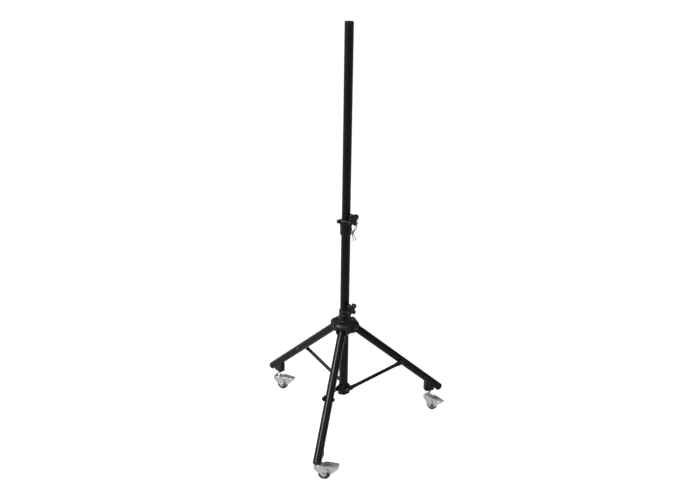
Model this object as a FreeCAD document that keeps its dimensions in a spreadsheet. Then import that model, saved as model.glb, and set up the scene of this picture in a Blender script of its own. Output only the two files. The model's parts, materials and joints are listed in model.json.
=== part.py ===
"""Speaker tripod stand on castors: telescoping pole, folding legs, braces, knobs and locking pin.

Millimetres, +Z up. The origin is on the floor at the column's axis, and the front leg points to -Y.
Pieces of a leg, a brace or a castor are made in a leg frame: X points away from the column, Y to the
leg's left seen from the column, and Z up. Each piece is then turned about Z to its leg's azimuth.
"""
import FreeCAD, Part
import math
import os
import Sketcher

Vector = FreeCAD.Vector
Rotation = FreeCAD.Rotation
Placement = FreeCAD.Placement

LEG_AZIMUTHS = {"front": -90.0, "right": 30.0, "left": 150.0}
CASTOR_HEADINGS = {"front": 6.0, "right": -35.0, "left": -9.0}
KNOB_AZIMUTH = -30.0
PIN_AZIMUTH = 30.0
EAR_AZIMUTH = 210.0
SLOT_AZIMUTH = -84.0
EYELET_AZIMUTH = -38.0

# Driving dimensions: one row of the sheet each.
DIMENSIONS = {
    "pole_radius": 17.5, "pole_wall": 1.5, "pole_low": 720.0, "pole_top": 1721.0,
    "cap_height": 24.0, "cap_plug": 18.0, "mark_level": 1611.0, "mark_width": 1.0, "mark_depth": 0.3,
    "pin_hole_radius": 4.0, "pin_hole_pitch": 50.0,
    "column_radius": 19.0, "column_wall": 1.2, "column_low": 158.0, "column_top": 915.0,
    "collar_low": 884.0, "collar_radius": 24.0, "flange_radius": 27.0, "flange_low": 930.0,
    "collar_top": 947.0, "pin_level": 943.0, "pin_radius": 3.5, "pin_tip": 19.6, "pin_end": 54.0,
    "ring_radius": 14.0, "ring_wire": 1.25, "ring_seat": 50.5, "ring_lean": 18.0,
    "upper_knob_level": 957.0, "lower_knob_level": 561.0, "stud_radius": 4.0, "running_fit": 0.05,
    "knob_near": 29.0, "knob_thickness": 18.0, "knob_core": 18.7, "lobe_radius": 8.8, "lobe_reach": 19.8,
    "hub_low": 443.0, "hub_high": 500.0, "neck_top": 548.0, "neck_radius": 22.5, "ridge_radius": 24.0,
    "sleeve_bore": 20.5, "lug_half": 21.0, "lug_reach": 60.5,
    "slot_half": 17.3, "slot_back": 25.2, "slot_roof": 483.0,
    "leg_radius": 17.0, "leg_wall": 1.5, "leg_tail": 11.0, "leg_length": 540.6, "leg_dome": 10.0,
    "pivot_reach": 46.0, "pivot_level": 461.2, "leg_slope": 41.44, "bolt_radius": 4.0,
    "brace_radius": 7.5, "brace_offset": 22.0, "flat_half_width": 11.0, "flat_thickness": 4.0,
    "flat_length": 24.0, "flare_length": 22.0,
    "foot_reach": 10.0, "foot_level": 172.0, "joint_reach": 262.0, "joint_level": 270.5,
    "flat_distance": 19.5, "base_corner": 28.0, "base_low": 150.0, "base_high": 190.0,
    "bowl_radius": 22.0, "bowl_low": 144.0,
    "stem_reach": 410.0, "stem_radius": 5.0, "stem_low": 57.0,
    "bracket_low": 93.0, "bracket_half": 11.0, "bracket_back": 384.0, "bracket_front": 427.0,
    "wheel_radius": 25.0, "wheel_half": 9.5, "rim_radius": 17.5, "trail": 18.0, "axle_radius": 4.0,
    "fork_inner": 12.4, "fork_plate": 1.6, "fork_top": 64.0, "wing_inner": 14.6, "wing_plate": 1.5,
    "pedal_pivot_reach": 24.0, "pedal_pivot_level": 57.0, "pedal_pin": 2.5,
    "eyelet_level": 912.0, "cord_radius": 1.5, "knot_radius": 4.8,
}

doc = FreeCAD.newDocument("speaker_tripod")
sheet = doc.addObject("Spreadsheet::Sheet", "Sizes")


class Size:
    """A length together with the sheet expression that gives it, so that sizes stay bound."""

    def __init__(self, value, text):
        self.value = float(value)
        self.text = text

    def joined(self, other, sign, value):
        other_text = other.text if isinstance(other, Size) else repr(float(other))
        return Size(value, "(" + self.text + " " + sign + " " + other_text + ")")

    def __add__(self, other):
        return self.joined(other, "+", self.value + number(other))

    def __sub__(self, other):
        return self.joined(other, "-", self.value - number(other))

    def __mul__(self, other):
        return self.joined(other, "*", self.value * number(other))

    def __truediv__(self, other):
        return self.joined(other, "/", self.value / number(other))

    def __neg__(self):
        return Size(-self.value, "(-1 * " + self.text + ")")


def number(size):
    """The plain number in a Size or a number."""
    return size.value if isinstance(size, Size) else float(size)


def fill_sheet():
    """Put every driving dimension in the sheet and return it as Sizes, by name."""
    sizes = {}
    for row, (name, value) in enumerate(DIMENSIONS.items(), start=1):
        sheet.set("A%d" % row, name)
        sheet.set("B%d" % row, str(value))
        sheet.setAlias("B%d" % row, name)
        sizes[name] = Size(value, "Sizes." + name)
    doc.recompute()
    return sizes


D = fill_sheet()
PIECES = []


# ---------------------------------------------------------------- general helpers

def bind(thing, prop, size):
    """Set a property to a size and keep it bound to the sheet."""
    if isinstance(size, Size):
        thing.setExpression(prop, size.text)
    else:
        setattr(thing, prop, size)


def place(thing, x=0.0, y=0.0, z=0.0, turn=None):
    """Place an object, keeping each coordinate that is a Size bound to the sheet."""
    turn = turn or Rotation()
    thing.Placement = Placement(Vector(number(x), number(y), number(z)), turn)
    for axis, value in (("x", x), ("y", y), ("z", z)):
        if isinstance(value, Size):
            thing.setExpression("Placement.Base." + axis, value.text)
    return thing


def about_z(angle):
    return Rotation(Vector(0, 0, 1), angle)


def about_y(angle):
    return Rotation(Vector(0, 1, 0), angle)


ALONG_X = about_y(90)
ALONG_Y = Rotation(Vector(1, 0, 0), -90)


def cylinder(name, radius, length, x=0.0, y=0.0, z=0.0, turn=None):
    """A cylinder along its own Z, placed."""
    thing = doc.addObject("Part::Cylinder", name)
    bind(thing, "Radius", radius)
    bind(thing, "Height", length)
    return place(thing, x, y, z, turn)


def block(name, length, width, height, x=0.0, y=0.0, z=0.0, turn=None):
    """A box with its low corner placed."""
    thing = doc.addObject("Part::Box", name)
    bind(thing, "Length", length)
    bind(thing, "Width", width)
    bind(thing, "Height", height)
    return place(thing, x, y, z, turn)


def fused(name, things):
    thing = doc.addObject("Part::MultiFuse", name)
    thing.Shapes = things
    thing.Refine = True
    return thing


def cut(name, base, tools):
    """Base with one or more tools taken away."""
    thing = doc.addObject("Part::Cut", name)
    thing.Base = base
    thing.Tool = tools[0] if len(tools) == 1 else fused(name + "_tools", tools)
    return thing


def common(name, things):
    thing = doc.addObject("Part::MultiCommon", name)
    thing.Shapes = things
    return thing


def rounded(name, base, radius, wanted):
    """A copy of base with the edges that the test picks rounded."""
    doc.recompute()
    thing = doc.addObject("Part::Fillet", name)
    thing.Base = base
    picked = [i for i, edge in enumerate(base.Shape.Edges, start=1) if wanted(edge)]
    thing.Edges = [(i, radius, radius) for i in picked]
    return thing


def is_circle(edge, radius=None):
    """Is the edge a circle, of the given radius if one is given?"""
    if not isinstance(edge.Curve, Part.Circle):
        return False
    return radius is None or abs(edge.Curve.Radius - number(radius)) < 0.01


def piece(name, thing, placement=None):
    """Give a finished sub-part its own name and its place in the whole, and keep it for export."""
    thing.Label = name
    if placement is not None:
        thing.Placement = placement
    PIECES.append(thing)
    return thing


# ---------------------------------------------------------------- sketched bodies

def new_body(name):
    return doc.addObject("PartDesign::Body", name)


def origin_plane(body, role):
    for feature in body.Origin.OriginFeatures:
        if feature.Role == role:
            return feature
    raise ValueError(role)


def origin_axis(body, role="Z_Axis"):
    return (origin_plane(body, role), [""])


def pin_coordinate(sketch, index, kind, value):
    """Hold one coordinate of a sketch line's start point, bound to the sheet when it is a Size."""
    if abs(number(value)) < 1e-9:
        axis = -2 if kind == "DistanceX" else -1
        sketch.addConstraint(Sketcher.Constraint("PointOnObject", index, 1, axis))
        return
    if number(value) > 0:
        constraint = Sketcher.Constraint(kind, -1, 1, index, 1, number(value))
    else:
        value = -value
        constraint = Sketcher.Constraint(kind, index, 1, -1, 1, number(value))
    place_in_list = sketch.addConstraint(constraint)
    if isinstance(value, Size):
        sketch.setExpression("Constraints[%d]" % place_in_list, value.text)


def outline(body, name, points, role="XZ_Plane", turn=0.0):
    """A closed outline of straight lines on an origin plane, with every corner bound.

    turn swings the sketch plane about the body's vertical axis."""
    sketch = body.newObject("Sketcher::SketchObject", name)
    sketch.AttachmentSupport = (origin_plane(body, role), [""])
    sketch.MapMode = "FlatFace"
    sketch.AttachmentOffset = Placement(Vector(), about_y(turn))
    count = len(points)
    flat = [Vector(number(x), number(y), 0) for x, y in points]
    for i in range(count):
        sketch.addGeometry(Part.LineSegment(flat[i], flat[(i + 1) % count]))
    for i in range(count):
        sketch.addConstraint(Sketcher.Constraint("Coincident", i, 2, (i + 1) % count, 1))
        pin_coordinate(sketch, i, "DistanceX", points[i][0])
        pin_coordinate(sketch, i, "DistanceY", points[i][1])
    return sketch


def revolve(body, name, points):
    """Revolve an outline of (radius, height) points about the body's Z axis."""
    feature = body.newObject("PartDesign::Revolution", name)
    feature.Profile = outline(body, name + "_sketch", points)
    feature.ReferenceAxis = origin_axis(body)
    feature.Angle = 360.0
    return feature


def pad(body, name, points, width, turn=0.0):
    """Extrude an outline of (X, Z) points to both sides of its plane."""
    feature = body.newObject("PartDesign::Pad", name)
    feature.Profile = outline(body, name + "_sketch", points, turn=turn)
    bind(feature, "Length", width)
    feature.Midplane = True
    return feature


def pocket(body, name, points, width, turn=0.0):
    """Cut an outline of (X, Z) points to both sides of its plane."""
    feature = body.newObject("PartDesign::Pocket", name)
    feature.Profile = outline(body, name + "_sketch", points, turn=turn)
    bind(feature, "Length", width)
    feature.Midplane = True
    return feature


def three_times(body, name, feature):
    """Repeat a feature for the three legs."""
    pattern = body.newObject("PartDesign::PolarPattern", name)
    pattern.Originals = [feature]
    pattern.Axis = origin_axis(body)
    pattern.Angle = 360.0
    pattern.Occurrences = 3
    body.Tip = pattern
    return pattern


def turned(name, points):
    """A whole sub-part made by one revolution about Z."""
    body = new_body(name)
    revolve(body, name + "_turned", points)
    return body


def ring_outline(inner, outer, low, high):
    return [(inner, low), (outer, low), (outer, high), (inner, high)]


# ---------------------------------------------------------------- upper pole

def make_pole():
    """The telescoping pole: tube with a row of pin holes, top cap and foot bush."""
    inner = D["pole_radius"] - D["pole_wall"]
    seam = D["pole_top"] - D["cap_height"]
    groove = D["pole_radius"] - D["mark_depth"]
    mark_end = D["mark_level"] + D["mark_width"]
    tube = turned("pole_tube", [
        (inner, D["pole_low"]), (D["pole_radius"], D["pole_low"]),
        (D["pole_radius"], D["mark_level"]), (groove, D["mark_level"]),
        (groove, mark_end), (D["pole_radius"], mark_end),
        (D["pole_radius"], seam), (inner, seam)])
    drills = []
    for step in range(-2, 11):
        level = D["pin_level"] + D["pin_hole_pitch"] * step
        drills.append(cylinder("pole_drill_%d" % (step + 2), D["pin_hole_radius"], D["pole_radius"] + 5,
                               z=level, turn=about_z(PIN_AZIMUTH) * ALONG_X))
    piece("upper_pole", cut("pole_cut", tube, drills))

    edge = 1.5
    plug = inner - 0.1
    cap = turned("pole_cap", [
        (0, seam - D["cap_plug"]), (plug, seam - D["cap_plug"]), (plug, seam), (D["pole_radius"], seam),
        (D["pole_radius"], D["pole_top"] - edge), (D["pole_radius"] - edge, D["pole_top"]),
        (0, D["pole_top"])])
    piece("pole_end_cap", cap)

    foot_length = 20.0
    guide = D["column_radius"] - D["column_wall"] - 0.1
    foot = turned("pole_foot", [
        (0, D["pole_low"] - foot_length), (guide - 1.0, D["pole_low"] - foot_length),
        (guide, D["pole_low"] - foot_length + 1.0), (guide, D["pole_low"]),
        (inner - 0.05, D["pole_low"]), (inner - 0.05, D["pole_low"] + foot_length),
        (0, D["pole_low"] + foot_length)])
    piece("pole_foot_bush", foot)


# ---------------------------------------------------------------- column and its foot

def brace_screw_drills(prefix, radius, near, far):
    """Cylinders at the three brace pivots, from near to far on each leg's right-hand side."""
    drills = []
    for name, azimuth in LEG_AZIMUTHS.items():
        turn = about_z(azimuth)
        start = turn.multVec(Vector(number(D["foot_reach"]), -near, 0))
        drill = cylinder(prefix + name, radius, far - near, turn=turn * Rotation(Vector(1, 0, 0), 90))
        place(drill, start.x, start.y, D["foot_level"], turn * Rotation(Vector(1, 0, 0), 90))
        drills.append(drill)
    return drills


def make_column():
    """The column tube and the triangular foot hub with its brace pivot screws."""
    inner = D["column_radius"] - D["column_wall"]
    tube = turned("column_ring", ring_outline(inner, D["column_radius"], D["column_low"], D["column_top"]))
    screw_start = 11.0
    screw_end = 30.0
    clearance = 0.05
    tube_drills = brace_screw_drills("column_drill_", D["bolt_radius"] + clearance, screw_start, screw_end)
    piece("column_tube", cut("column_cut", tube, tube_drills))

    height = D["base_high"] - D["base_low"]
    prism = cylinder("base_round", D["base_corner"], height, z=D["base_low"])
    slabs = []
    side = 120.0
    for name, azimuth in LEG_AZIMUTHS.items():
        turn = about_z(azimuth - 90)
        corner = turn.multVec(Vector(number(D["flat_distance"]) - side, -side / 2, 0))
        slab = block("base_slab_" + name, side, side, height, corner.x, corner.y, D["base_low"], turn)
        slabs.append(slab)
    prism = common("base_prism", [prism] + slabs)
    bowl_height = D["base_low"] - D["bowl_low"] + 4.0
    bowl_block = cylinder("bowl_block", D["bowl_radius"], bowl_height, z=D["bowl_low"])
    bowl = rounded("bowl", bowl_block, 6.0,
                   lambda edge: is_circle(edge) and edge.BoundBox.ZMax < number(D["bowl_low"]) + 0.1)
    socket = cylinder("base_socket", D["column_radius"], D["base_high"] - D["column_low"] + 5.0,
                      z=D["column_low"])
    solid = fused("base_solid", [prism, bowl])
    core_post = cylinder("base_post", inner - 0.1, D["base_high"] - D["column_low"] - 8.0,
                         z=D["column_low"])
    hollow = cut("base_hollow", solid, [socket])
    filled = fused("base_filled", [hollow, core_post])
    base_drills = brace_screw_drills("base_drill_", D["bolt_radius"] + clearance, screw_start, 40.0)
    piece("lower_hub", cut("base_cut", filled, base_drills))

    flat_outside = number(D["brace_offset"] + D["flat_thickness"] / 2)
    shanks = brace_screw_drills("screw_shank_", D["bolt_radius"], screw_start + 0.5, flat_outside + 0.5)
    heads = brace_screw_drills("screw_head_", 7.5, flat_outside + 0.4, screw_end)
    pairs = [fused("screw_%d" % i, [shank, head]) for i, (shank, head) in enumerate(zip(shanks, heads))]
    screws = doc.addObject("Part::Compound", "brace_screws")
    screws.Links = pairs
    piece("brace_pivot_screws", screws)


# ---------------------------------------------------------------- upper collar

def tower_points(near, low, high, width):
    """Side view of a knob tower: a block that leans in at its top."""
    return [(near, low), (width, low + 4.0), (width, high - 5.0), (width - 4.0, high), (near, high)]


def make_collar():
    """The moulded collar at the column's mouth, its liner and its grub screw."""
    body = new_body("collar_body")
    step = D["flange_radius"] - 1.5
    revolve(body, "collar_ring", [
        (D["column_radius"], D["collar_low"]), (D["collar_radius"] - 2.0, D["collar_low"]),
        (D["collar_radius"], D["collar_low"] + 4.0), (D["collar_radius"], D["flange_low"] - 2.0),
        (D["flange_radius"], D["flange_low"]), (D["flange_radius"], D["collar_top"] - 1.5),
        (step, D["collar_top"]), (20.0, D["collar_top"]),
        (20.0, D["column_top"]), (D["column_radius"], D["column_top"])])
    tower_low = D["upper_knob_level"] - 27.0
    tower_high = D["upper_knob_level"] + 15.0
    pad(body, "collar_tower", tower_points(D["pole_radius"] + 3.2, tower_low, tower_high, 28.0), 18.0,
        turn=KNOB_AZIMUTH)
    slot_centre = 923.0
    pocket(body, "collar_window", [
        (21.5, slot_centre - 2.0), (30.0, slot_centre - 2.0),
        (30.0, slot_centre + 2.0), (21.5, slot_centre + 2.0)], 14.5, turn=SLOT_AZIMUTH)
    relief = pocket(body, "collar_relief", [
        (22.8, 899.0), (30.0, 899.0), (30.0, 913.0), (22.8, 911.0)], 12.0, turn=SLOT_AZIMUTH)
    body.Tip = relief

    boss = cylinder("pin_boss", 7.5, 12.5, turn=about_z(PIN_AZIMUTH) * ALONG_X)
    reach = about_z(PIN_AZIMUTH).multVec(Vector(21.0, 0, 0))
    place(boss, reach.x, reach.y, D["pin_level"], about_z(PIN_AZIMUTH) * ALONG_X)
    ear_reach = about_z(EAR_AZIMUTH).multVec(Vector(21.0, 0, 0))
    ear = cylinder("ear", 8.0, 17.0, turn=about_z(EAR_AZIMUTH) * ALONG_X)
    place(ear, ear_reach.x, ear_reach.y, D["pin_level"], about_z(EAR_AZIMUTH) * ALONG_X)
    ear_round = rounded("ear_round", ear, 3.0, is_circle)

    eyelet_level = D["eyelet_level"]
    eyelet_turn = about_z(EYELET_AZIMUTH)
    lug_start = eyelet_turn.multVec(Vector(22.0, -3.5, 0))
    lug = block("eyelet_lug", 6.0, 7.0, 12.0, lug_start.x, lug_start.y, eyelet_level - 6.0, eyelet_turn)
    lug_nose = eyelet_turn.multVec(Vector(28.0, -3.5, 0))
    nose = cylinder("eyelet_nose", 6.0, 7.0)
    place(nose, lug_nose.x, lug_nose.y, eyelet_level, eyelet_turn * ALONG_Y)

    gathered = fused("collar_gathered", [body, boss, ear_round, lug, nose])
    pin_way = cylinder("pin_way", D["pin_radius"] + D["running_fit"], 60.0,
                       z=D["pin_level"], turn=about_z(PIN_AZIMUTH) * ALONG_X)
    stud_way = cylinder("stud_way", D["stud_radius"] + D["running_fit"], 60.0,
                        z=D["upper_knob_level"], turn=about_z(KNOB_AZIMUTH) * ALONG_X)
    ear_hole_start = about_z(EAR_AZIMUTH).multVec(Vector(30.0, 0, 0))
    ear_hole = cylinder("ear_hole", 2.0, 12.0)
    place(ear_hole, ear_hole_start.x, ear_hole_start.y, D["pin_level"], about_z(EAR_AZIMUTH) * ALONG_X)
    eye_start = eyelet_turn.multVec(Vector(29.0, -10.0, 0))
    eye_hole = cylinder("eye_hole", 2.6, 20.0)
    place(eye_hole, eye_start.x, eye_start.y, eyelet_level, eyelet_turn * ALONG_Y)
    grub_way = cylinder("grub_way", 3.0, 30.0, z=905.0, turn=about_z(90) * ALONG_X)
    mouth = cylinder("mouth_way", 20.0, D["collar_top"] - D["column_top"] + 40.0, z=D["column_top"])
    bore = cylinder("bore_way", D["column_radius"], 45.0, z=D["collar_low"] - 5.0)
    piece("upper_collar", cut("collar_cut", gathered,
                              [pin_way, stud_way, ear_hole, eye_hole, grub_way, mouth, bore]))

    bush = turned("bush_ring", [
        (D["pole_radius"] + 0.08, D["column_top"]), (20.0, D["column_top"]), (20.0, D["collar_top"]),
        (22.5, D["collar_top"]), (22.5, D["collar_top"] + 1.0),
        (D["pole_radius"] + 1.0, D["collar_top"] + 1.0),
        (D["pole_radius"] + 0.08, D["collar_top"])])
    bush_way = cylinder("bush_way", D["pin_radius"] + 0.4, 40.0,
                        z=D["pin_level"], turn=about_z(PIN_AZIMUTH) * ALONG_X)
    tower_gap = block("tower_gap", 10.0, 24.0, 3.0)
    gap_start = about_z(KNOB_AZIMUTH).multVec(Vector(19.0, -12.0, 0))
    place(tower_gap, gap_start.x, gap_start.y, D["collar_top"] - 0.5, about_z(KNOB_AZIMUTH))
    piece("collar_bush", cut("bush_cut", bush, [bush_way, tower_gap]))

    grub = cylinder("grub", 2.95, 4.6, turn=about_z(90) * ALONG_X)
    place(grub, 0.0, D["column_radius"] + 0.1, 905.0, about_z(90) * ALONG_X)
    socket = cylinder("grub_socket", 1.5, 3.0)
    place(socket, 0.0, D["column_radius"] + 2.5, 905.0, about_z(90) * ALONG_X)
    piece("collar_grub_screw", cut("grub_cut", grub, [socket]))


# ---------------------------------------------------------------- locking pin and lanyard

def make_pin():
    """The spring-free locking pin, drawn out of the pole, with its pull ring."""
    start = D["pin_tip"]
    length = D["pin_end"] - start
    shaft = turned("pin_shaft", [
        (0, 0), (D["pin_radius"] - 1.2, 0), (D["pin_radius"], 2.0),
        (D["pin_radius"], length - 10.0), (5.5, length - 10.0), (5.5, length - 7.5),
        (4.5, length - 7.5), (4.5, length - 1.0), (3.5, length), (0, length)])
    loose = 0.8
    seat = cylinder("ring_seat", D["ring_wire"] + loose, 20.0,
                    y=-10.0, z=D["ring_seat"] - start, turn=ALONG_Y)
    pin_turn = about_z(PIN_AZIMUTH)
    base = pin_turn.multVec(Vector(number(start), 0, 0)) + Vector(0, 0, number(D["pin_level"]))
    piece("locking_pin", cut("pin_cut", shaft, [seat]), Placement(base, pin_turn * ALONG_X))

    ring = doc.addObject("Part::Torus", "pull_ring")
    bind(ring, "Radius1", D["ring_radius"])
    bind(ring, "Radius2", D["ring_wire"])
    lean = math.radians(number(D["ring_lean"]))
    reach = number(D["ring_seat"]) - number(D["ring_radius"]) * math.sin(lean)
    centre = pin_turn.multVec(Vector(reach, 0, 0))
    place(ring, centre.x, centre.y, D["pin_level"] - D["ring_radius"] * math.cos(lean),
          pin_turn * about_y(90 + number(D["ring_lean"])))
    piece("pin_ring", ring)


def smooth_route(points):
    """Straight runs joined by arcs as large as the runs allow, and the arcs' radii."""
    edges = []
    radii = []
    here = points[0]
    for i in range(1, len(points) - 1):
        before = points[i - 1] - points[i]
        after = points[i + 1] - points[i]
        shorter = min(before.Length, after.Length)
        turn = math.pi - before.getAngle(after)
        reach = 0.45 * shorter
        radii.append(reach / math.tan(turn / 2))
        before.normalize()
        after.normalize()
        start = points[i] + before * reach
        end = points[i] + after * reach
        middle_way = (before + after).normalize()
        bulge = radii[-1] * (1 / math.cos(turn / 2) - 1)
        edges.append(Part.LineSegment(here, start).toShape())
        edges.append(Part.Arc(start, points[i] + middle_way * bulge, end).toShape())
        here = end
    edges.append(Part.LineSegment(here, points[-1]).toShape())
    return Part.Wire(edges), radii


def make_cord(name, points):
    """A round cord along a hand-chosen route."""
    route = [Vector(*point) for point in points]
    wire, radii = smooth_route(route)
    radius = number(D["cord_radius"])
    way = route[1] - route[0]
    section = Part.Wire(Part.makeCircle(radius, route[0], way))
    tube = wire.makePipeShell([section], True, False)
    expected = math.pi * radius ** 2 * wire.Length
    print(name, "radii", [round(r, 1) for r in radii], "length", round(wire.Length, 1),
          "volume ratio", round(tube.Volume / expected, 3))
    cord = doc.addObject("Part::Feature", name + "_solid")
    cord.Shape = tube
    piece(name, cord)


# The strand that loops round the pull ring, and the one that loops through the collar's eyelet.
LANYARD_ROUTE = [
    (33.9, -22.5, 905.8), (35.2, -14.5, 908.0), (35.9, -4.0, 910.8), (35.2, 6.8, 914.4),
    (34.5, 14.0, 917.1), (33.8, 18.6, 919.8), (36.3, 22.5, 920.8), (39.4, 23.5, 917.1),
    (40.0, 20.3, 913.0), (40.3, 14.6, 911.8), (39.7, 5.6, 909.2), (38.4, -4.8, 905.8),
    (36.6, -14.4, 903.4), (35.0, -22.6, 902.6)]
EYE_LOOP_ROUTE = [
    (32.2, -22.6, 905.3), (32.5, -17.8, 907.5), (29.6, -14.0, 910.5), (25.7, -14.2, 912.0),
    (22.5, -17.6, 912.3), (20.0, -21.5, 912.0), (20.8, -25.4, 910.5), (25.1, -27.2, 907.5),
    (29.7, -25.8, 905.3)]
TAIL_A_ROUTE = [
    (33.5, -26.8, 900.0), (33.1, -27.8, 892.5), (34.8, -27.9, 884.5), (36.7, -26.4, 877.0),
    (37.5, -25.2, 868.0)]
TAIL_B_ROUTE = [
    (35.2, -25.6, 900.6), (37.7, -24.6, 894.0), (42.0, -23.7, 888.2), (45.3, -22.9, 880.5),
    (46.9, -22.3, 871.5)]
KNOT_CENTRE = (33.9, -26.5, 904.0)


def make_lanyard():
    """The short cord that keeps the pin with the collar: two loops, a knot and two tails."""
    make_cord("lanyard_cord", LANYARD_ROUTE)
    make_cord("lanyard_eye_loop", EYE_LOOP_ROUTE)
    make_cord("lanyard_tail_a", TAIL_A_ROUTE)
    make_cord("lanyard_tail_b", TAIL_B_ROUTE)
    knot = doc.addObject("Part::Sphere", "knot_ball")
    bind(knot, "Radius", D["knot_radius"])
    piece("lanyard_knot", place(knot, *KNOT_CENTRE))


# ---------------------------------------------------------------- star knobs

def make_knob(name, level, tip, lobe_turn, threaded_end):
    """A four-lobed star knob and its stud, along the knob azimuth. tip is where the stud ends inside."""
    thickness = D["knob_thickness"]
    core = cylinder(name + "_core", D["knob_core"], thickness)
    parts = [core]
    for i in range(4):
        angle = math.radians(lobe_turn + 90 * i)
        parts.append(cylinder(name + "_lobe_%d" % i, D["lobe_radius"], thickness,
                              D["lobe_reach"] * math.cos(angle), D["lobe_reach"] * math.sin(angle)))
    star = fused(name + "_star", parts)
    soft = rounded(name + "_soft", star, 3.3, lambda edge: is_circle(edge, D["lobe_radius"]))
    neck = cylinder(name + "_neck", 9.5, 4.0, z=-1.6)
    whole = fused(name + "_whole", [soft, neck])
    bore = cylinder(name + "_bore", D["stud_radius"], 14.0, z=-3.0)
    turn = about_z(KNOB_AZIMUTH)
    base = turn.multVec(Vector(number(D["knob_near"]) + 1.0, 0, 0)) + Vector(0, 0, number(level))
    piece(name, cut(name + "_cut", whole, [bore]), Placement(base, turn * ALONG_X))

    stud_end = D["knob_near"] + 1.0 + 11.0
    stud = turned(name + "_stud_turned", [
        (0, 0), (D["stud_radius"] - 1.0, 0), (D["stud_radius"], 1.0),
        (D["stud_radius"], stud_end - tip), (0, stud_end - tip)])
    foot = turn.multVec(Vector(number(tip), 0, 0)) + Vector(0, 0, number(level))
    piece(name + "_stud", stud, Placement(foot, turn * ALONG_X))


# ---------------------------------------------------------------- carriage

def make_carriage():
    """The sliding hub with three clevises, its liner and the leg pivot pins."""
    body = new_body("carriage_body")
    bore = D["sleeve_bore"]
    neck = D["neck_radius"]
    ridge = D["ridge_radius"]
    revolve(body, "carriage_core", [
        (bore, D["hub_low"]), (30.0, D["hub_low"]), (30.0, D["hub_high"] - 3.0), (neck, D["hub_high"] + 3.0),
        (neck, D["hub_high"] + 19.0), (ridge, D["hub_high"] + 20.0), (ridge, D["hub_high"] + 30.0),
        (neck, D["hub_high"] + 31.0), (neck, D["hub_high"] + 37.0), (ridge, D["hub_high"] + 38.0),
        (ridge, D["hub_high"] + 44.0), (neck, D["hub_high"] + 45.0), (neck, D["neck_top"]),
        (bore, D["neck_top"])])
    lug = pad(body, "carriage_lug", [
        (22.0, D["hub_low"]), (38.0, D["hub_low"]), (42.0, D["hub_low"] + 2.0),
        (D["lug_reach"] - 0.5, D["hub_low"] + 23.0), (D["lug_reach"], D["hub_low"] + 36.0),
        (D["lug_reach"] - 2.0, D["hub_low"] + 43.5), (D["lug_reach"] - 6.5, D["hub_low"] + 50.5),
        (D["lug_reach"] - 12.0, D["hub_high"] - 2.0), (D["lug_reach"] - 18.0, D["hub_high"]),
        (22.0, D["hub_high"])], D["lug_half"] * 2)
    three_times(body, "carriage_lugs", lug)
    slot_low = D["hub_low"] - 5.0
    slot = pocket(body, "carriage_slot", [
        (D["slot_back"], slot_low), (90.0, slot_low), (90.0, D["slot_roof"] - 4.5),
        (58.0, D["slot_roof"] - 4.5), (52.0, D["slot_roof"]), (D["slot_back"], D["slot_roof"])],
        D["slot_half"] * 2)
    three_times(body, "carriage_slots", slot)
    tower_low = D["lower_knob_level"] - 52.0
    tower_high = D["lower_knob_level"] + 17.0
    tower = pad(body, "carriage_tower", tower_points(bore + 0.1, tower_low, tower_high, 28.0), 18.0,
                turn=KNOB_AZIMUTH + 90.0)
    body.Tip = tower
    # the body is turned as a whole, so that its first lug is the front one

    drills = []
    pins = []
    rivets = []
    for name, azimuth in LEG_AZIMUTHS.items():
        turn = about_z(azimuth)
        across = turn * ALONG_Y
        half = number(D["lug_half"])
        start = turn.multVec(Vector(number(D["pivot_reach"]), -half - 5.0, 0))
        drill = cylinder("pivot_drill_" + name, D["bolt_radius"], 2 * half + 10.0)
        drills.append(place(drill, start.x, start.y, D["pivot_level"], across))
        shank = cylinder("pivot_shank_" + name, D["bolt_radius"], 2 * half + 2.0)
        shank_start = turn.multVec(Vector(number(D["pivot_reach"]), -half - 1.0, 0))
        place(shank, shank_start.x, shank_start.y, D["pivot_level"], across)
        ends = []
        for side, low in (("near", -half - 4.0), ("far", half)):
            end_start = turn.multVec(Vector(number(D["pivot_reach"]), low, 0))
            end = cylinder("pivot_end_%s_%s" % (name, side), 7.0, 4.0)
            ends.append(place(end, end_start.x, end_start.y, D["pivot_level"], across))
        pins.append(fused("pivot_pin_" + name, [shank] + ends))
        stud = cylinder("lug_rivet_" + name, 4.0, 3.0)
        top = turn.multVec(Vector(33.0, 0, 0))
        place(stud, top.x, top.y, D["hub_high"] - 4.5)
        rivets.append(stud)
    stud_way = cylinder("lower_stud_way", D["stud_radius"] + D["running_fit"], 60.0,
                        z=D["lower_knob_level"], turn=about_z(KNOB_AZIMUTH) * ALONG_X)
    body.Placement = Placement(Vector(), about_z(LEG_AZIMUTHS["front"]))
    with_rivets = fused("carriage_rivets", [body] + rivets)
    piece("hub_carriage", cut("carriage_cut", with_rivets, drills + [stud_way]))

    liner = turned("carriage_liner", ring_outline(
        D["column_radius"] + 0.08, bore, D["hub_low"] + 1.0, D["neck_top"]))
    piece("carriage_bush", liner)

    group = doc.addObject("Part::Compound", "pivot_pins")
    group.Links = pins
    piece("leg_pivot_pins", group)


# ---------------------------------------------------------------- legs

def leg_axis_placement(azimuth, along=0.0):
    """A frame whose Z runs down a leg from its pivot, with Y across the leg."""
    slope = number(D["leg_slope"])
    turn = about_z(azimuth) * about_y(90 + slope)
    pivot = about_z(azimuth).multVec(Vector(number(D["pivot_reach"]), 0, 0))
    pivot.z = number(D["pivot_level"])
    return Placement(pivot + turn.multVec(Vector(0, 0, along)), turn)


def brace_joint_along():
    """Distance down a leg from its pivot to the brace's bolt."""
    across = number(D["joint_reach"] - D["pivot_reach"])
    down = number(D["pivot_level"] - D["joint_level"])
    return math.hypot(across, down)


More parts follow.
